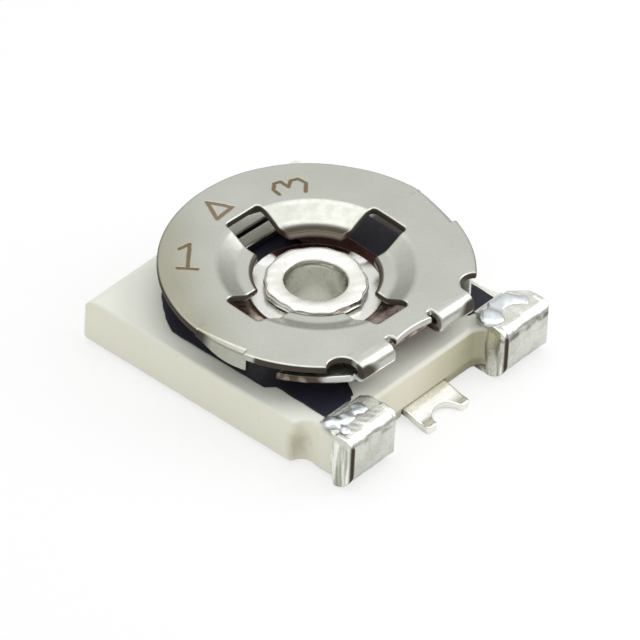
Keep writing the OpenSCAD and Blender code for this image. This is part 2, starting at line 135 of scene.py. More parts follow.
# Meshing
def net(shape, lo, hi, step):
    """Points and quads of the surface where shape(x, y, z) is 0, as a surface net on a regular grid."""
    step = np.array(step, float)
    lo = np.array(lo, float) - 1.7 * step
    count = [int(math.ceil((hi[i] + 2 * step[i] - lo[i]) / step[i])) + 1 for i in range(3)]
    axes = [lo[i] + step[i] * np.arange(count[i]) for i in range(3)]
    f = shape(axes[0][:, None, None], axes[1][None, :, None], axes[2][None, None, :])
    f = np.ascontiguousarray(np.broadcast_to(f, count)).astype(np.float32)
    inside = f < 0
    corner = [(i, j, k) for i in (0, 1) for j in (0, 1) for k in (0, 1)]

    def shifted(a, o):
        return a[tuple(slice(o[d], a.shape[d] - 1 + o[d]) for d in range(3))]

    filled = sum(shifted(inside, o).astype(np.int8) for o in corner)
    cells = (filled > 0) & (filled < 8)
    place = np.argwhere(cells)
    ids = np.full(cells.shape, -1, np.int32)
    ids[cells] = np.arange(len(place))
    value = np.stack([shifted(f, o)[cells] for o in corner], 1)
    total = np.zeros((len(place), 3))
    hits = np.zeros(len(place))
    for a in range(8):
        for b in range(a + 1, 8):
            d = np.array(corner[b]) - np.array(corner[a])
            if np.abs(d).sum() != 1:
                continue
            crossing = (value[:, a] < 0) != (value[:, b] < 0)
            t = value[crossing, a] / (value[crossing, a] - value[crossing, b])
            total[crossing] += np.array(corner[a]) + t[:, None] * d
            hits[crossing] += 1
    points = lo + (place + total / hits[:, None]) * step
    quads = []
    for a in range(3):
        b, c = (a + 1) % 3, (a + 2) % 3
        start = [slice(None)] * 3
        end = [slice(None)] * 3
        start[a], end[a] = slice(0, -1), slice(1, None)
        change = inside[tuple(start)] != inside[tuple(end)]
        at = np.argwhere(change)
        at = at[(at[:, b] > 0) & (at[:, c] > 0) & (at[:, b] < cells.shape[b]) & (at[:, c] < cells.shape[c])]
        out = inside[tuple(at.T)]

        def cell(db, dc):
            p = at.copy()
            p[:, b] += db
            p[:, c] += dc
            return ids[tuple(p.T)]

        q = np.stack([cell(-1, -1), cell(0, -1), cell(0, 0), cell(-1, 0)], 1)
        q[~out] = q[~out][:, ::-1]
        quads.append(q)
    return points, np.concatenate(quads)


def settle(shape, points, step, turns=2):
    """Moves points onto the surface and gives the surface's normals there."""
    eps = 0.15 * min(step)
    for turn in range(turns + 1):
        x, y, z = points.T
        grad = np.stack([shape(x + eps, y, z) - shape(x - eps, y, z),
                         shape(x, y + eps, z) - shape(x, y - eps, z),
                         shape(x, y, z + eps) - shape(x, y, z - eps)], 1) / (2 * eps)
        size = np.maximum(np.linalg.norm(grad, axis=1, keepdims=True), 0.2)
        normal = grad / size
        if turn < turns:
            move = normal * (shape(x, y, z)[:, None] / size)
            far = np.linalg.norm(move, axis=1, keepdims=True)
            points = points - move * np.minimum(1, 0.7 * max(step) / np.maximum(far, 1e-9))
    return points, normal


def turned(points, degrees):
    a = math.radians(degrees)
    m = np.array([[math.cos(a), -math.sin(a), 0], [math.sin(a), math.cos(a), 0], [0, 0, 1]])
    return points @ m.T


def piece(name, shape, lo, hi, step, keep, material, body, nodes, turn=0.0):
    """One piece meshed from its distance function, thinned to a share of its triangles."""
    step = [s * FINE for s in step]
    points, quads = net(shape, lo, hi, step)
    points, _ = settle(shape, points, step)
    mesh = bpy.data.meshes.new(name)
    mesh.from_pydata(points.tolist(), [], quads.tolist())
    mesh.update()
    obj = bpy.data.objects.new(name, mesh)
    scene.collection.objects.link(obj)
    thin = obj.modifiers.new("thin", "DECIMATE")
    thin.ratio = keep
    thin.use_collapse_triangulate = True
    done = bpy.data.meshes.new_from_object(obj.evaluated_get(bpy.context.evaluated_depsgraph_get()))
    obj.modifiers.clear()
    obj.data = done
    done.name = name
    bpy.data.meshes.remove(mesh)
    flat = np.empty(3 * len(done.vertices))
    done.vertices.foreach_get("co", flat)
    points, normal = settle(shape, flat.reshape(-1, 3), step, 1)
    points, normal = turned(points, turn), turned(normal, turn)
    done.vertices.foreach_set("co", (points * MM).ravel())
    done.polygons.foreach_set("use_smooth", np.ones(len(done.polygons), bool))
    done.normals_split_custom_set_from_vertices(normal.tolist())
    done.update()
    done.materials.append(material)
    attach(obj, body)
    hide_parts(*nodes)
    print(name, len(done.polygons), "triangles")
    return obj


# Shapes
def ceramic_shape(x, y, z):
    """The plate. Rectangles that end at 2 or more end past the plate."""
    plan = rect(x, y, -base_w / 2, base_w / 2, -base_front, base_back, back_corner_r)
    corners = rect(x, y, -base_w / 2, base_w / 2, -base_front, 0, 0.05)
    plan = np.minimum(plan, corners)
    ex = x - ear_shift
    plan = cut(plan, rect(np.abs(ex), y, ear_x, 2, -2.2, -notch_y, 0.0), 0.03)
    plan = cut(plan, length(ex + ear_x + notch_r - notch_depth, y + notch_y) - notch_r, 0.04)
    plan = cut(plan, length(ex - ear_x - notch_3_r + notch_3_depth, y + notch_3_y) - notch_3_r, 0.03)
    plan = cut(plan, rect(ex, y, -recess_w / 2, recess_w / 2, -3, -recess_back, recess_r), 0.03)
    plan = cut(plan, length(x, y) - barrel_r - clearance, 0.01)
    body = both(plan + 0.0015 * waves(x, y, z, 0.5, 3), np.maximum(z - base_top, base_lift - z), 0.035)
    body = np.maximum(body, both(y - base_back, z - base_top, back_round))
    body = np.maximum(body, both(-base_front - y, base_lift - z, low_bend_r))
    # underneath: a groove for the centre terminal and a pocket for each strap's foot
    half, tab_half = plate_w / 2 + clearance, tab_w / 2 + clearance
    groove = np.minimum(rect(x, y, -half, half, -plate_front - clearance, 2),
                        rect(x, y, tab_x - tab_half, tab_x + tab_half, -2, 0))
    body = cut(body, np.maximum(groove, z - groove_top), 0.008)
    foot = np.maximum(strap_in_x - clearance - np.abs(ex), y + strap_front - strap_foot_l - clearance)
    foot = np.maximum(foot, np.minimum(np.abs(ex) - ear_x + pocket_tuck, y + strap_front - cheek_l))
    return cut(body, np.maximum(foot, z - strap_t), 0.008)


def track_shape(x, y, z):
    """The printed ring, open at the front, with a leg towards each ear."""
    ax = np.abs(x)
    plan = np.maximum(np.maximum(length(x, y) - track_r, ax - track_x), -y - leg_y - track_x + leg_x)
    plan = np.maximum(plan, (ax - y - track_x - leg_y) * 0.707)
    plan = np.minimum(plan, rect(x, y, -leg_x, leg_x, -track_front, 0))
    plan = both(plan, track_in_r - length(x, y))
    a = math.radians(track_gap)
    plan = both(plan, (ax * math.cos(a) + y * math.sin(a)) * -1, 0.02)
    gap_x = track_front * math.tan(a)
    corner = (np.abs(ax - gap_x) + np.abs(y + track_front) - track_slant) * 0.707
    plan = cut(plan, corner, 0.01)
    plan = plan + 0.004 * waves(x, y, 0 * z, 0.16, 8)
    slab = np.abs(z - base_top - film_t / 2) - film_t / 2
    return both(plan, slab, 0.006)


def strap_shape(side, seed):
    """A strap round an ear: flange, front face and foot, with a cheek on each side. Side is -1 or 1."""
    def shape(x, y, z):
        x = (x - ear_shift) * side
        outer = rect(y, z, -strap_front, 0, 0, strap_top, strap_bend_r + strap_t)
        outer = np.maximum(outer, both(-strap_front - y, -z, low_bend_r + strap_t))
        inner = rect(y, z, -base_front, 0.2, strap_t, film_top, strap_bend_r)
        inner = np.maximum(inner, both(-base_front - y, strap_t - z, low_bend_r))
        wall = np.maximum(outer, -inner)
        upper = y + strap_front - strap_top_l
        lower = y + strap_front - strap_foot_l
        back = np.where(z > 0.3, upper, lower)
        clip = (strap_out_x - flange_corner_out - x) * -1 + upper
        clip_in = (strap_in_x + flange_corner_in - x) + upper
        tucked = np.maximum(back, np.minimum(x - ear_x + foot_tuck, y + strap_front - cheek_l))
        back = np.where(z > 0.3, np.maximum(back, np.maximum(clip, clip_in) * 0.707), tucked)
        ends = np.maximum(strap_in_x - x, x - strap_out_x)
        plan = both(back, ends, 0.02)
        wall = wall + 0.0022 * waves(x, y, z, 0.22, seed) + 0.001 * waves(x, y, z, 0.09, seed + 1)
        sheet = both(wall + 0.002, plan, 0.016)
        bulge = cheek_bulge * (1 - ((z - strap_top / 2) / (strap_top / 2)) ** 2)
        cheek = np.maximum(ends, y + strap_front - cheek_l - bulge)
        cheek = np.maximum(cheek, -np.maximum(recess_w / 2 - x, x - ear_x))
        cheek = both(cheek, outer + 0.004, 0.014)
        corner = rect(x, y, strap_in_x, strap_out_x, -strap_front, 0, 0.07)
        return both(join(sheet, cheek, 0.02), corner, 0.0)
    return shape


def solder_shape(side, lumps, pads, seed):
    """Lumps of tin that have run together on a strap's flange.

    A lump is its place across and along the flange, its radius and its height. A pad is a flat patch.
    """
    width = strap_out_x - strap_in_x

    def shape(x, y, z):
        x = (x - ear_shift) * side
        total = None
        for across, along, r, h in lumps:
            cx = strap_in_x + across * width
            cy = -strap_front + strap_top_l - along
            ball = np.sqrt(((x - cx) / r) ** 2 + ((y - cy) / r) ** 2 + ((z - strap_top) / h) ** 2)
            ball = (ball - 1) * min(r, h)
            total = ball if total is None else join(total, ball, 0.02)
        for x0, x1, y0, y1, h in pads:
            pad = both(rect(x, y, x0, x1, y0, y1, 0.03), z - strap_top - h, 0.015)
            total = pad if total is None else join(total, pad, 0.012)
        total = total + 0.002 * waves(x, y, z, 0.12, seed)
        return both(total, strap_top - 0.002 - z, 0.002)
    return shape


def center_shape(x, y, z):
    """Terminal 2: a plate with a forked tab and a rear foot, and the eyelet with its rolled flange."""
    r = length(x, y)
    drop = ramp(-y, tab_y - 0.02, tab_y + tab_slope, 0.25) + ramp(y, foot_y, foot_y + foot_slope, 0.2)
    sheet = np.abs(z - plate_z * (1 - drop) - sheet_t / 2) - sheet_t / 2
    plan = rect(x, y, -plate_w / 2, plate_w / 2, -plate_front, foot_y, 0.04)
    tab = rect(x, y, tab_x - tab_w / 2, tab_x + tab_w / 2, -tab_front, 0, 0.045)
    tab = cut(tab, length(x - tab_x, y + tab_front) - fork_r, 0.03)
    foot = rect(x, y, -foot_w / 2, foot_w / 2, 0, foot_back, 0.04)
    plan = join(np.minimum(plan, foot), tab, 0.04)
    plan = cut(plan, r - hole_r, 0.0)
    sheet = both(sheet, plan, 0.014)
    angle = np.arctan2(y, x)
    edge = flange_r + 0.006 * np.sin(5 * angle + 1) + 0.006 * np.sin(9 * angle + 2.2)
    edge = edge + 0.004 * np.sin(17 * angle)
    barrel = np.abs(r - hole_r - sheet_t / 2) - sheet_t / 2
    barrel = both(barrel, np.maximum(plate_z + 0.01 - z, z - flange_z - 0.02), 0.01)
    # the flange is highest at its crest and falls towards the hole and towards its wavy edge
    crest = hole_r + 1.5 * mouth_r
    inner = np.maximum(crest - r, 0) / (crest - hole_r)
    outer = np.maximum(r - crest, 0) / (edge - crest)
    top = flange_top - 0.020 * inner ** 2 - 0.035 * outer ** 3
    roll = both(np.maximum(r - edge, hole_r - r), np.maximum((z - top) * 0.9, flange_z - z), 0.025)
    eyelet = join(barrel, roll, 0.03)
    eyelet = eyelet + 0.0015 * waves(x, y, z, 0.14, 21) * (z > 0.6)
    return join(sheet, eyelet, 0.03)


def rotor_shape(x, y, z):
    """One folded sheet: the disc, the bridges at the front, and the wiper under the disc."""
    r = length(x, y)
    ax = np.abs(x)
    half_t = rotor_t / 2
    low = math.radians(lip_deg)
    # the disc: dish, rim, driver slot, then the front cuts
    wall = ramp(r, dish_floor_r, dish_r, 0.16)
    tilt = 1 - 0.18 * np.clip(4 * wall * (1 - wall), 0, 1)
    ripple = 0.0016 * waves(x, y, 0, 0.55, 5)
    sheet = (np.abs(z - disc_z - half_t - dish_depth * (wall - 1) - ripple) - half_t) * tilt
    plan = np.maximum(r - rotor_r + 0.004 + 0.004 * waves(x, y, 0, 1.1, 9), opening_r - r)
    slot = np.minimum(rect(x, y, -slot_tip_r, slot_tip_r, -slot_w / 2, slot_w / 2, slot_corner_r),
                      rect(x, y, -slot_w / 2, slot_w / 2, -slot_tip_r, slot_tip_r, slot_corner_r))
    plan = cut(plan, slot, 0.02)
    front = np.maximum(np.maximum(ax - relief_x, bridge_in - ax), y + fold_y)
    plan = cut(plan, front, 0.01)
    plan = cut(plan, length(x, y + scallop_y + scallop_r) - scallop_r, 0.02)
    plan = cut(plan, length(ax - relief_x, y + relief_y) - relief_r, 0.02)
    plan = cut(plan, length(ax - nick_x, y + fold_y) - nick_r, 0.01)
    plan = cut(plan, np.maximum(np.abs(ax - nick_x) - nick_r, y + fold_y), 0.0)
    sector = np.maximum(y - lip_start, -(ax * math.sin(low) + y * math.cos(low)))
    plan = np.maximum(plan, -np.maximum(sector + 0.03, lip_r - 0.07 - r))
    f = both(sheet, plan, 0.025)
    level = z - disc_top - dish_depth * (wall - 1) - ripple
    f = np.maximum(f, both(level, opening_r - r, 0.04))
    # the two lips bent down at the rim, which begin slowly and end at a step
    deep = ramp(-y, -lip_start, 0.20, 0.5)
    rim = rotor_r - 0.004 - 0.004 * waves(x, y, 0, 1.1, 9)
    across, over = r - rim + (rim - lip_r) * deep, z - disc_top - ripple
    soft = 0.025 + 0.04 * deep
    bend = length(np.maximum(across + soft, 0), np.maximum(over + soft, 0))
    bend = np.minimum(np.maximum(across, over), -soft) + bend
    bend = cut(bend, both(across + rotor_t, z - disc_z - ripple, 0.012), 0.0)
    bend = both(bend, np.maximum(disc_z + ripple - lip_h * deep - z, sector), 0.014)
    f = np.minimum(f, np.maximum(bend, lip_r - 0.16 - r))
    # the folded bridges
    fold = np.abs(length(np.minimum(y + fold_y, 0), z - fold_z) - fold_r + half_t) - half_t
    sides = np.maximum(np.maximum(bridge_in - ax, ax - bridge_out), y + fold_y - 0.12)
    f = np.minimum(f, both(fold, sides, 0.02))
    # the sheet folded under, the neck and the ring
    plan = np.maximum(np.maximum(r - under_r, y + under_y), -y - fold_y)
    plan = np.minimum(plan, np.maximum(ax - bridge_out, np.maximum(y + under_in_r, -y - fold_y)))
    plan = np.maximum(plan, under_in_r - r)
    plan = cut(plan, np.maximum(ax - bridge_in, y + under_front), 0.01)
    f = np.minimum(f, both(np.abs(z - under_z - half_t) - half_t, plan, 0.02))
    slope = ramp(y, -under_in_r + half_t, -neck_y, 0.15)
    tilt = 1 - 0.14 * np.clip(4 * slope * (1 - slope), 0, 1)
    neck = (np.abs(z - half_t - under_z - (ring_z - under_z) * slope) - half_t) * tilt
    sides = np.maximum(ax - neck_w / 2, np.maximum(-y - under_in_r - rotor_t, y + ring_hole_r))
    f = join(f, both(neck, sides, 0.02), 0.01)
    ring = both(np.abs(z - ring_z - half_t) - half_t, np.maximum(r - ring_edge_r, ring_hole_r - r), 0.016)
    plan = np.maximum(np.maximum(r - finger_r, ax - arms_w / 2), -arm_front - y)
    plan = cut(plan, rect(x, y, -window_w / 2, window_w / 2, 0, window_y, 0.05), 0.01)
    slit = rect(x, y, -slit_l / 2, slit_l / 2, slit_y - slit_w / 2, slit_y + slit_w / 2, 0.02)
    plan = cut(plan, slit, 0.0)
    plan = np.maximum(plan, ring_r - rotor_t / 2 - r)
    arms = both(np.abs(z - arm_z - half_t) - half_t, plan, 0.016)
    wiper = join(ring, arms, 0.012)
    # a contact dimple on each finger
    for at in (0.97, 1.15):
        ball = length(length(x, y - at), z - film_top - 0.10) - 0.09
        wiper = np.minimum(wiper, np.maximum(ball, z - arm_z - half_t))
    return np.minimum(f, np.maximum(wiper, ring_hole_r - r))


# Materials
class Nodes:
    """A short way to write node materials. Coordinates are millimetres on the part."""

    def __init__(self, name):
        self.mat = bpy.data.materials.new(name)
        self.mat.use_nodes = True
        self.tree = self.mat.node_tree
        self.bsdf = self.tree.nodes["Principled BSDF"]
        place = self.tree.nodes.new("ShaderNodeTexCoord")
        scale = self.tree.nodes.new("ShaderNodeVectorMath")
        scale.operation = "SCALE"
        scale.inputs["Scale"].default_value = 1000.0
        self.tree.links.new(place.outputs["Object"], scale.inputs[0])
        self.mm = scale.outputs[0]

    def put(self, socket, value):
        if isinstance(value, bpy.types.NodeSocket):
            self.tree.links.new(value, socket)
        elif value is not None:
            socket.default_value = value

    def math(self, op, a, b=None, c=None, clamp=False):
        n = self.tree.nodes.new("ShaderNodeMath")
        n.operation = op
        n.use_clamp = clamp
        for s, v in zip(n.inputs, (a, b, c)):
            self.put(s, v)
        return n.outputs[0]

    def times(self, a, b):
        return self.math("MULTIPLY", a, b)

    def vec(self, op, a, b=None):
        n = self.tree.nodes.new("ShaderNodeVectorMath")
        n.operation = op
        self.put(n.inputs[0], a)
        self.put(n.inputs[1], b)
        return n.outputs["Value" if op in ("LENGTH", "DOT_PRODUCT", "DISTANCE") else "Vector"]

    def noise(self, size, detail=3.0, rough=0.55, at=None):
        n = self.tree.nodes.new("ShaderNodeTexNoise")
        self.put(n.inputs["Vector"], self.mm if at is None else at)
        n.inputs["Scale"].default_value = 1.0 / size
        n.inputs["Detail"].default_value = detail
        n.inputs["Roughness"].default_value = rough
        return n.outputs["Fac"]

    def stretched(self, sx, sy, sz):
        return self.vec("MULTIPLY", self.mm, (sx, sy, sz))

    def step(self, value, a, b, lo=0.0, hi=1.0):
        n = self.tree.nodes.new("ShaderNodeMapRange")
        n.interpolation_type = "SMOOTHSTEP"
        for s, v in zip(n.inputs, (value, a, b, lo, hi)):
            self.put(s, v)
        return n.outputs[0]

    def mix(self, fac, a, b):
        n = self.tree.nodes.new("ShaderNodeMix")
        n.data_type = "RGBA"
        self.put(n.inputs["Factor"], fac)
        self.put(n.inputs[6], a if not isinstance(a, tuple) else (*a, 1.0))
        self.put(n.inputs[7], b if not isinstance(b, tuple) else (*b, 1.0))
        return n.outputs[2]

    def part(self, what, axis):
        n = self.tree.nodes.new("ShaderNodeSeparateXYZ")
        self.put(n.inputs[0], what)
        return n.outputs[axis]

    def xyz(self):
        return [self.part(self.mm, axis) for axis in range(3)]

    def facing(self, axis):
        """1 where the surface faces along an axis, either way."""
        n = self.tree.nodes.new("ShaderNodeNewGeometry")
        return self.math("ABSOLUTE", self.part(n.outputs["Normal"], axis))

    def bump(self, height, depth, normal=None):
        """Depth is millimetres for a height of 1."""
        n = self.tree.nodes.new("ShaderNodeBump")
        n.inputs["Strength"].default_value = 1.0
        n.inputs["Distance"].default_value = depth * MM
        self.put(n.inputs["Height"], height)
        self.put(n.inputs["Normal"], normal)
        return n.outputs[0]

    def set(self, **sockets):
        names = dict(color="Base Color", metallic="Metallic", rough="Roughness", normal="Normal",
                     specular="Specular IOR Level")
        for k, v in sockets.items():
            if k == "color" and isinstance(v, tuple):
                v = (*v, 1.0)
            self.put(self.bsdf.inputs[names[k]], v)
        return self.mat


def segment(m, px, py, ax, ay, bx, by):
    """Distance of (px, py) to the line from a to b."""
    dx, dy = bx - ax, by - ay
    long = dx * dx + dy * dy
    ux = m.math("SUBTRACT", px, ax)
    uy = m.math("SUBTRACT", py, ay)
    t = m.math("DIVIDE", m.math("MULTIPLY_ADD", ux, dx, m.times(uy, dy)), long, clamp=True)
    ex = m.math("SUBTRACT", ux, m.times(t, dx))
    ey = m.math("SUBTRACT", uy, m.times(t, dy))
    return m.math("SQRT", m.math("MULTIPLY_ADD", ex, ex, m.times(ey, ey)))


def nearest(m, px, py, lines):
    """Least distance from (px, py) to the lines."""
    best = None
    for line in lines:
        d = segment(m, px, py, *line)
        best = d if best is None else m.math("MINIMUM", best, d)
    return best


def strokes(m, x, y, lines, angle, radius, size, turn):
    """Distance to a mark's lines on the disc. Turn 1 reads from the axis outwards, -1 inwards."""
    a = math.radians(angle)
    out = m.math("MULTIPLY_ADD", x, math.cos(a), m.times(y, math.sin(a)))
    over = m.math("MULTIPLY_ADD", x, -math.sin(a), m.times(y, math.cos(a)))
    px = m.times(m.math("SUBTRACT", out, radius), turn / size)
    py = m.times(over, turn / size)
    return m.times(nearest(m, px, py, lines), size)


def marks(m, x, y, z):
    """Where the two numbers, the pointer's outline and the pointer's inside are, on top of the disc."""
    one = [(0.02, -0.5, 0.02, 0.5), (0.02, 0.5, -0.24, 0.28), (-0.24, -0.5, 0.28, -0.5)]
    three = [(-0.30, 0.38, -0.08, 0.5), (-0.08, 0.5, 0.2, 0.42), (0.2, 0.42, 0.26, 0.22),
             (0.26, 0.22, -0.02, 0.04), (-0.02, 0.04, 0.26, -0.08), (0.26, -0.08, 0.3, -0.3),
             (0.3, -0.3, 0.08, -0.5), (0.08, -0.5, -0.3, -0.4)]
    numbers = m.math("MINIMUM", strokes(m, x, y, one, 128.7, 1.22, 0.36, -1),
                     strokes(m, x, y, three, 54, 1.17, 0.33, 1))
    corners = [(radius * math.cos(math.radians(a)), radius * math.sin(math.radians(a)))
               for radius, a in ((1.358, 91.6), (1.139, 86.3), (1.131, 98.1))]
    sides = [(*corners[k], *corners[(k + 1) % 3]) for k in range(3)]
    pointer = nearest(m, x, y, sides)
    inside = None
    for ax, ay, bx, by in sides:
        side = m.math("MULTIPLY_ADD", m.math("SUBTRACT", x, ax), by - ay,
                      m.times(m.math("SUBTRACT", y, ay), ax - bx))
        inside = side if inside is None else m.math("MAXIMUM", inside, side)
    top = m.step(z, disc_top - 0.012, disc_top - 0.006)
    blur = m.math("MULTIPLY_ADD", m.noise(0.05, 2), 0.014, -0.007)
    etched = m.times(m.step(m.math("ADD", numbers, blur), etch_line, 2 * etch_line, 1.0, 0.0), top)
    golden = m.times(m.step(m.math("ADD", pointer, blur), 0.012, 0.030, 0.85, 0.0), top)
    filled = m.times(m.step(inside, 0.0, 0.004, 0.75, 0.0), top)
    return etched, golden, filled


def under_disc(m, x, y, flat_r, far_side):
    """Tone of what lies under the disc: brown sheet, bright fingers and a bright ring, with painted shade
    on the far side of ring and sheet, painted glints on the ring, and painted shade and highlights on the
    crescent at the front.
    """
    patches = m.noise(0.12, 3)
    bare = m.mix(m.step(patches, 0.35, 0.65), (0.13, 0.09, 0.07), (0.56, 0.45, 0.39))
    bare = m.mix(m.step(y, 0.80, 0.88), bare, (0.62, 0.61, 0.57))
    # painted shade: the ring's far side is dark
    ring = m.mix(far_side, (0.72, 0.72, 0.68), (0.06, 0.025, 0.02))
    # painted highlights: two glints on the ring
    for painted_glint in ((-0.02, 0.61, 0.69), (0.62, 0.0, 0.69)):
        glint_mask = m.step(m.vec("DISTANCE", m.mm, painted_glint), 0.07, 0.12, 1.0, 0.0)
        ring = m.mix(glint_mask, ring, (0.97, 0.97, 0.95))
    ring = m.mix(m.step(flat_r, 0.640, 0.652), ring, (0.10, 0.07, 0.055))
    # painted shade on the sheet's far side, under the disc's edge
    bare = m.mix(m.times(far_side, m.step(flat_r, 0.95, 0.85)), bare, (0.06, 0.025, 0.02))
    bare = m.mix(m.step(flat_r, 0.658, 0.670), ring, bare)
    # painted shade on the crescent seen at the front, patchy, with a painted highlight bar and a painted
    # glint
    painted_shade_crescent = m.times(m.step(flat_r, 1.42, 1.45), m.step(patches, 0.50, 0.62, 0.95, 0.45))
    bare = m.mix(painted_shade_crescent, bare, (0.10, 0.08, 0.06))
    painted_glint = m.step(m.vec("DISTANCE", m.mm, (0.02, -1.02, 0.80)), 0.03, 0.06, 1.0, 0.0)
    bare = m.mix(painted_glint, bare, (0.9, 0.9, 0.88))
    painted_highlight_bar = m.times(m.step(m.math("ABSOLUTE", x), 1.09, 1.03), m.step(flat_r, 1.34, 1.38))
    return m.mix(painted_highlight_bar, bare, (0.86, 0.86, 0.84))


def rotor_material():
    m = Nodes("rotor_sheet")
    x, y, z = m.xyz()
    flat_r = m.vec("LENGTH", m.vec("MULTIPLY", m.mm, (1, 1, 0)))
    lying = m.facing(2)
    soft = m.noise(0.55, 2)
    grain = m.noise(0.07, 4, 0.6)
    fine = m.noise(0.022, 3, 0.6)
    tone = m.mix(soft, (0.47, 0.48, 0.42), (0.55, 0.56, 0.52))
    tone = m.mix(m.step(grain, 0.4, 0.72, 0.0, 0.25), tone, (0.40, 0.41, 0.36))
    # darker and yellower towards the far left of the rim
    away = m.vec("DOT_PRODUCT", m.mm, (-0.82, 0.57, 0))
    far_left_darker = m.times(m.step(away, 0.7, 1.5), m.step(flat_r, 1.0, 1.4, 0.3, 0.8))
    tone = m.mix(far_left_darker, tone, (0.34, 0.33, 0.245))
    # the cut edges are dull and brown, as cut metal is, and deepened towards black by painted shade, but
    # not on the lips and folds; on the opening's far side they are painted paler, painted light where light
    # falls on them
    lip = m.times(m.step(y, 0.12, -0.02), m.step(y, -0.50, -0.46))
    plain = m.math("MULTIPLY_ADD", m.times(lip, m.step(flat_r, 1.3, 1.4)), -1.0, 1.0)
    dish_floor_z = disc_z - dish_depth
    steep = m.times(m.step(lying, 0.85, 0.60), m.step(z, dish_floor_z - 0.03, dish_floor_z))
    cut_edge = m.times(steep, plain)
    far_side = m.step(m.vec("DOT_PRODUCT", m.mm, (0.77, 0.64, 0)), 0.30, 0.44)
    inner_edge = m.mix(far_side, (0.06, 0.045, 0.03), (0.24, 0.215, 0.175))
    edge_tone = m.mix(m.step(flat_r, 0.60, 0.68), inner_edge, (0.045, 0.034, 0.022))
    # painted shade: the dish floor on the far side and the opening's rounded edge all round are darkened
    painted_floor_shade = m.times(far_side, m.step(flat_r, 0.765, 0.68, 0.0, 0.97))
    painted_floor_shade = m.math("MAXIMUM", painted_floor_shade, m.step(flat_r, 0.65, 0.63, 0.0, 0.93))
    tone = m.mix(painted_floor_shade, tone, (0.075, 0.06, 0.045))
    folds = m.times(m.step(y, -1.15, -1.2), m.step(flat_r, 1.5, 1.45))
    cut_edge = m.times(cut_edge, m.math("SUBTRACT", 1.0, folds))
    tone = m.mix(m.times(cut_edge, 0.95), tone, edge_tone)
    under = m.times(m.step(z, 0.84, 0.80), plain)
    tone = m.mix(under, tone, under_disc(m, x, y, flat_r, far_side))
    # the pointer and the two numbers, etched in brown
    etched, golden, filled = marks(m, x, y, z)
    tone = m.mix(filled, tone, (0.36, 0.31, 0.19))
    tone = m.mix(m.times(etched, 0.9), tone, (0.17, 0.115, 0.05))
    tone = m.mix(golden, tone, (0.19, 0.125, 0.05))
    height = m.math("MULTIPLY_ADD", grain, 0.7, m.times(fine, 0.3))
    normal = m.bump(height, 0.0009)
    normal = m.bump(m.math("MAXIMUM", etched, golden), -mark_depth, normal=normal)
    rough = m.step(grain, 0.3, 0.75, 0.26, 0.38)
    rough = m.math("MULTIPLY_ADD", m.math("MAXIMUM", etched, cut_edge), 0.25, rough)
    return m.set(color=tone, metallic=m.math("MULTIPLY_ADD", cut_edge, -0.95, 1.0), rough=rough,
                 specular=m.math("MULTIPLY_ADD", cut_edge, -0.38, 0.5), normal=normal)


def bright_material(name, tone_a, tone_b, rough_a, rough_b, depth, size):
    m = Nodes(name)
    soft = m.noise(size * 4, 2)
    grain = m.noise(size, 4, 0.6)
    fine = m.noise(size * 0.3, 2)
    tone = m.mix(soft, tone_a, tone_b)
    height = m.math("MULTIPLY_ADD", grain, 0.75, m.times(fine, 0.25))
    return m.set(color=tone, metallic=1.0, rough=m.step(grain, 0.3, 0.72, rough_a, rough_b),
                 normal=m.bump(height, depth))


def strap_material():
    m = Nodes("tinned_strap")
    soft = m.noise(0.22, 3)
    scratch = m.noise(0.05, 3, 0.6, at=m.stretched(0.35, 1, 1))
    pits = m.noise(0.035, 2)
    face = m.step(m.facing(1), 0.75, 0.97)
    tone = m.mix(soft, (0.58, 0.59, 0.53), (0.74, 0.75, 0.70))
    # painted shade: patches darken the faces that face front
    tone = m.mix(m.times(face, m.step(soft, 0.42, 0.62, 0.0, 0.5)), tone, (0.42, 0.43, 0.36))
    tone = m.mix(m.step(pits, 0.66, 0.78, 0.0, 0.7), tone, (0.30, 0.30, 0.26))
    # brown lines: down each strap's left front corner and under its upper bend
    x, y, z = m.xyz()
    corners = [m.math("ABSOLUTE", m.math("SUBTRACT", x, at)) for at in (-1.375, 0.835)]
    corner_x = m.math("MINIMUM", *corners)
    line = m.times(m.step(corner_x, 0.010, 0.028, 0.97, 0.0), m.step(z, 0.57, 0.53))
    below = m.times(m.step(z, 0.46, 0.50), m.step(z, 0.55, 0.52))
    below = m.times(below, m.step(soft, 0.40, 0.62, 0.0, 0.75))
    line = m.times(m.math("MAXIMUM", line, below), m.step(y, -1.60, -1.65))
    tone = m.mix(line, tone, (0.04, 0.027, 0.013))
    # painted highlight stripes and painted shade stripes down the outer sides
    flank = m.times(m.step(m.facing(0), 0.8, 0.95), m.step(z, 0.56, 0.50))
    painted_stripe = m.noise(0.055, 1, at=m.stretched(1, 1, 0.12))
    tone = m.mix(m.times(flank, m.step(painted_stripe, 0.48, 0.60)), tone, (0.95, 0.96, 0.90))
    tone = m.mix(m.times(flank, m.step(painted_stripe, 0.46, 0.36, 0.0, 0.8)), tone, (0.36, 0.38, 0.30))
    height = m.math("MULTIPLY_ADD", scratch, 0.6, m.times(pits, -0.3))
    return m.set(color=tone, metallic=1.0, rough=m.step(scratch, 0.3, 0.7, 0.20, 0.36),
                 normal=m.bump(height, 0.0025))


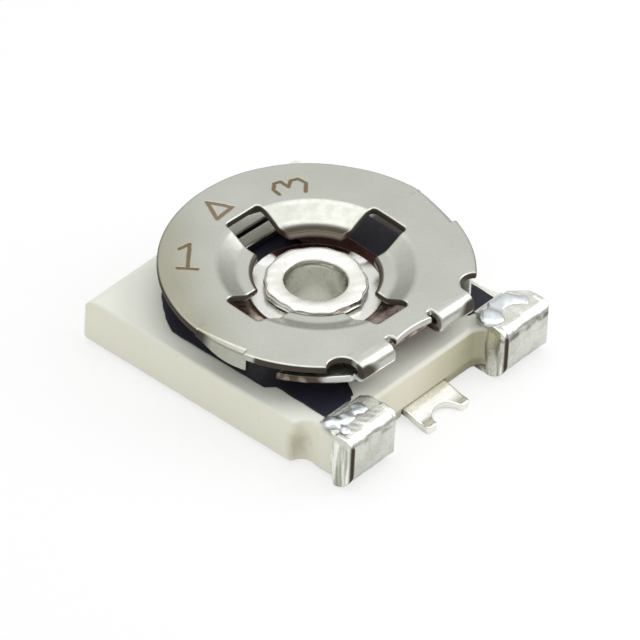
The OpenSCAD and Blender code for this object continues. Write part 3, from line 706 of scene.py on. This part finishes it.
def ceramic_material():
    m = Nodes("ceramic")
    x, y, z = m.xyz()
    soft = m.noise(0.7, 3)
    grain = m.noise(0.05, 4, 0.65)
    speck = m.noise(0.09, 2)
    tone = m.mix(soft, (0.83, 0.84, 0.75), (0.89, 0.895, 0.82))
    # painted light: the sides are tinted yellower than the top, as light falls on them
    tone = m.mix(m.step(m.facing(2), 0.7, 0.4, 0.0, 0.75), tone, (0.90, 0.89, 0.73))
    tone = m.mix(m.step(speck, 0.68, 0.8, 0.0, 0.3), tone, (0.60, 0.57, 0.46))
    # painted shade under the disc, beside the track
    painted_under_disc_shade = m.times(m.step(x, 1.27, 1.285), m.step(m.math("ABSOLUTE", y), 0.5, 0.4))
    tone = m.mix(painted_under_disc_shade, tone, (0.045, 0.032, 0.02))
    # painted shade: in the notch beside terminal 1, and along the recess between the ears
    notch_shade = m.vec("SUBTRACT", m.mm, (-1.44, -1.08, 0.24))
    notch_shade = m.vec("LENGTH", m.vec("MULTIPLY", notch_shade, (1.0, 1.0, 0.6)))
    notch_shade = m.math("MULTIPLY_ADD", m.noise(0.09, 3), 0.10, notch_shade)
    tone = m.mix(m.step(notch_shade, 0.09, 0.21, 0.55, 0.0), tone, (0.42, 0.35, 0.20))
    # the recess wall is painted darker towards the right, painted shade where it curves into the right ear
    wall = m.times(m.step(y, -1.25, -1.34), m.step(z, 0.50, 0.46))
    wall = m.times(wall, m.step(m.math("ABSOLUTE", x), 0.86, 0.80))
    painted_wall_shade = m.mix(m.step(x, -0.3, 0.75), (0.80, 0.75, 0.60), (0.48, 0.46, 0.29))
    tone = m.mix(m.times(wall, m.step(soft, 0.3, 0.6, 0.6, 0.9)), tone, painted_wall_shade)
    # a painted shadow along the wall's foot, where the tab comes out
    low = m.times(wall, m.step(z, 0.17, 0.12))
    tone = m.mix(m.times(low, 0.5), tone, (0.24, 0.19, 0.11))
    return m.set(color=tone, metallic=0.0, rough=m.step(grain, 0.3, 0.7, 0.42, 0.6), specular=0.5,
                 normal=m.bump(grain, 0.003))


def track_material():
    m = Nodes("track")
    grain = m.noise(0.04, 4, 0.6)
    soft = m.noise(0.4, 2)
    tone = m.mix(soft, (0.012, 0.012, 0.020), (0.030, 0.030, 0.048))
    return m.set(color=tone, metallic=0.0, rough=m.step(grain, 0.3, 0.7, 0.32, 0.5), specular=0.2,
                 normal=m.bump(grain, 0.0025))


ROTOR = rotor_material()
EYELET = bright_material("bright_metal", (0.82, 0.82, 0.74), (0.94, 0.94, 0.89), 0.18, 0.30, 0.0008, 0.07)
SILVER = bright_material("silver_film", (0.52, 0.52, 0.49), (0.62, 0.62, 0.58), 0.4, 0.55, 0.002, 0.03)
TIN = bright_material("tin", (0.56, 0.60, 0.61), (0.70, 0.74, 0.75), 0.28, 0.40, 0.0006, 0.08)
STRAP = strap_material()
CERAMIC = ceramic_material()
TRACK = track_material()

# Pieces
piece("ceramic", ceramic_shape, (-1.48, -1.64, 0.03), (1.48, 1.63, 0.53), (0.016, 0.016, 0.016), 0.45,
      CERAMIC, "base", ["ceramic_base"])
piece("track", track_shape, (-1.45, -1.21, 0.53), (1.45, 1.45, 0.55), (0.016, 0.016, 0.005), 0.5,
      TRACK, "base", ["resistive_track"])
for side, name, seed in ((-1, "terminal_1", 31), (1, "terminal_3", 47)):
    lo, hi = (strap_in_x, strap_out_x) if side > 0 else (-strap_out_x, -strap_in_x)
    lo, hi = lo + ear_shift, hi + ear_shift
    piece("strap_" + name[-1], strap_shape(side, seed), (lo, -1.70, 0), (hi, -1.2, 0.62),
          (0.009, 0.009, 0.009), 0.5, STRAP, "base", [name])
piece("tin_1", solder_shape(-1, [(0.84, 0.08, 0.09, 0.045), (0.62, 0.13, 0.08, 0.022),
                                 (0.82, 0.24, 0.06, 0.020), (0.34, 0.12, 0.08, 0.016)], [], 61),
      (-1.45, -1.66, 0.60), (-0.74, -1.22, 0.67), (0.007, 0.007, 0.004), 0.6,
      TIN, "base", ["solder_1"])
piece("tin_3", solder_shape(1, [(0.38, 0.08, 0.08, 0.022), (0.60, 0.09, 0.09, 0.020),
                                (0.74, 0.2, 0.07, 0.016), (0.13, 0.16, 0.13, 0.045)],
                            [(0.79, 0.95, -1.50, -1.34, 0.025)], 62),
      (0.74, -1.66, 0.60), (1.48, -1.22, 0.67), (0.007, 0.007, 0.004), 0.6,
      TIN, "base", ["solder_3"])
piece("center", center_shape, (-0.55, -1.68, 0), (0.55, 1.70, 0.81), (0.011, 0.011, 0.008), 0.4,
      EYELET, "base", ["center_terminal"])
piece("rotor_sheet", rotor_shape, (-1.52, -1.52, 0.55), (1.52, 1.52, 0.98), (0.0125, 0.0125, 0.010), 0.42,
      ROTOR, "rotor", ["rotor"], turn=rest_deg)
for name in ("electrode_1", "electrode_3"):
    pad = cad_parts[name]
    for held in pad.material_slots:
        held.material = SILVER

# Floor, light and camera
half = 30 * MM
floor_mesh = bpy.data.meshes.new("floor")
floor_mesh.from_pydata([(-half, -half, 0), (half, -half, 0), (half, half, 0), (-half, half, 0)], [],
                       [(0, 1, 2, 3)])
floor = bpy.data.objects.new("floor", floor_mesh)
scene.collection.objects.link(floor)
f = Nodes("floor")
f.set(color=(0.95, 0.95, 0.95), rough=0.9, specular=0.0)
# seen by the camera, the floor is mostly plain white, but not down the eyelet's hole
white = f.tree.nodes.new("ShaderNodeEmission")
away = f.step(f.vec("LENGTH", f.mm), 0.34, 0.40, 0.0, 0.7)
light_path = f.tree.nodes.new("ShaderNodeLightPath")
blend = f.tree.nodes.new("ShaderNodeMixShader")
f.put(blend.inputs[0], f.math("MULTIPLY", away, light_path.outputs["Is Camera Ray"]))
f.put(blend.inputs[1], f.bsdf.outputs[0])
f.put(blend.inputs[2], white.outputs[0])
f.put(f.tree.nodes["Material Output"].inputs["Surface"], blend.outputs[0])
floor_mesh.materials.append(f.mat)


def lamp(name, place, aim, width, height, power):
    data = bpy.data.lights.new(name, "AREA")
    data.shape = "RECTANGLE"
    data.size, data.size_y = width * MM, height * MM
    data.energy = power
    o = bpy.data.objects.new(name, data)
    o.location = Vector(place) * MM
    o.rotation_mode = "QUATERNION"
    o.rotation_quaternion = (Vector(aim) - Vector(place)).to_track_quat("-Z", "Y")
    scene.collection.objects.link(o)
    return o


# place in mm, aim, width and height in mm, watts
lamp("top", (2, 5, 26), (0, 0, 0.5), 22, 22, 0.0017)
lamp("key", (13, -10, 14.5), (0, 0, 0.5), 15, 15, 0.0016)
lamp("left", (-17, 1, 17), (0, 0, 0.5), 9, 9, 0.0004)

# white to the camera, and a studio sky that is darker towards the horizon to everything else
world = bpy.data.worlds.new("world")
scene.world = world
world.use_nodes = True
wt = world.node_tree
bg = wt.nodes["Background"]
bg.inputs["Color"].default_value = (1, 1, 1, 1)


def world_node(kind, **values):
    """A node of the world with its inputs linked or set. In the input's name _ stands for a space."""
    n = wt.nodes.new(kind)
    for k, v in values.items():
        socket = n.inputs[k.replace("_", " ")]
        if isinstance(v, bpy.types.NodeSocket):
            wt.links.new(v, socket)
        else:
            socket.default_value = v
    return n


path = wt.nodes.new("ShaderNodeLightPath")
sky = wt.nodes.new("ShaderNodeTexCoord")
height = world_node("ShaderNodeSeparateXYZ", Vector=sky.outputs["Generated"]).outputs["Z"]
soft_sky = world_node("ShaderNodeMapRange", Value=height,
                      From_Min=0.0, From_Max=0.9, To_Min=0.22, To_Max=0.80)
shiny_sky = world_node("ShaderNodeMapRange", Value=height,
                       From_Min=0.0, From_Max=0.55, To_Min=0.35, To_Max=1.0)
shiny = world_node("ShaderNodeMix", Factor=path.outputs["Is Glossy Ray"],
                   A=soft_sky.outputs[0], B=shiny_sky.outputs[0])
full = world_node("ShaderNodeMix", Factor=path.outputs["Is Camera Ray"], A=shiny.outputs[0], B=1.0)
wt.links.new(full.outputs[0], bg.inputs["Strength"])

# the camera, fitted to the photograph: distance in mm, pixels per mm, and the origin's pixel
az, el, roll = (math.radians(v) for v in (-50.6, 40.1, 3.0))
dist, scale, picture, origin_px = 105.0, 105.2, 640, (312.6, 343.0)
back = Vector((math.sin(az) * math.cos(el), -math.cos(az) * math.cos(el), math.sin(el)))
right = Vector((math.cos(az), math.sin(az), 0))
up = back.cross(right)
r2 = math.cos(roll) * right + math.sin(roll) * up
u2 = -math.sin(roll) * right + math.cos(roll) * up
ox, oy = ((px - picture / 2) / scale for px in origin_px)
place = (dist * back - ox * r2 + oy * u2) * MM
data = bpy.data.cameras.new("camera")
data.sensor_width = 36
data.lens = scale * dist / picture * data.sensor_width
data.clip_start, data.clip_end = 0.01, 10
camera = bpy.data.objects.new("camera", data)
camera.matrix_world = Matrix.Translation(place) @ Matrix((r2, u2, back)).transposed().to_4x4()
scene.collection.objects.link(camera)
scene.camera = camera
scene.view_settings.view_transform = "Standard"
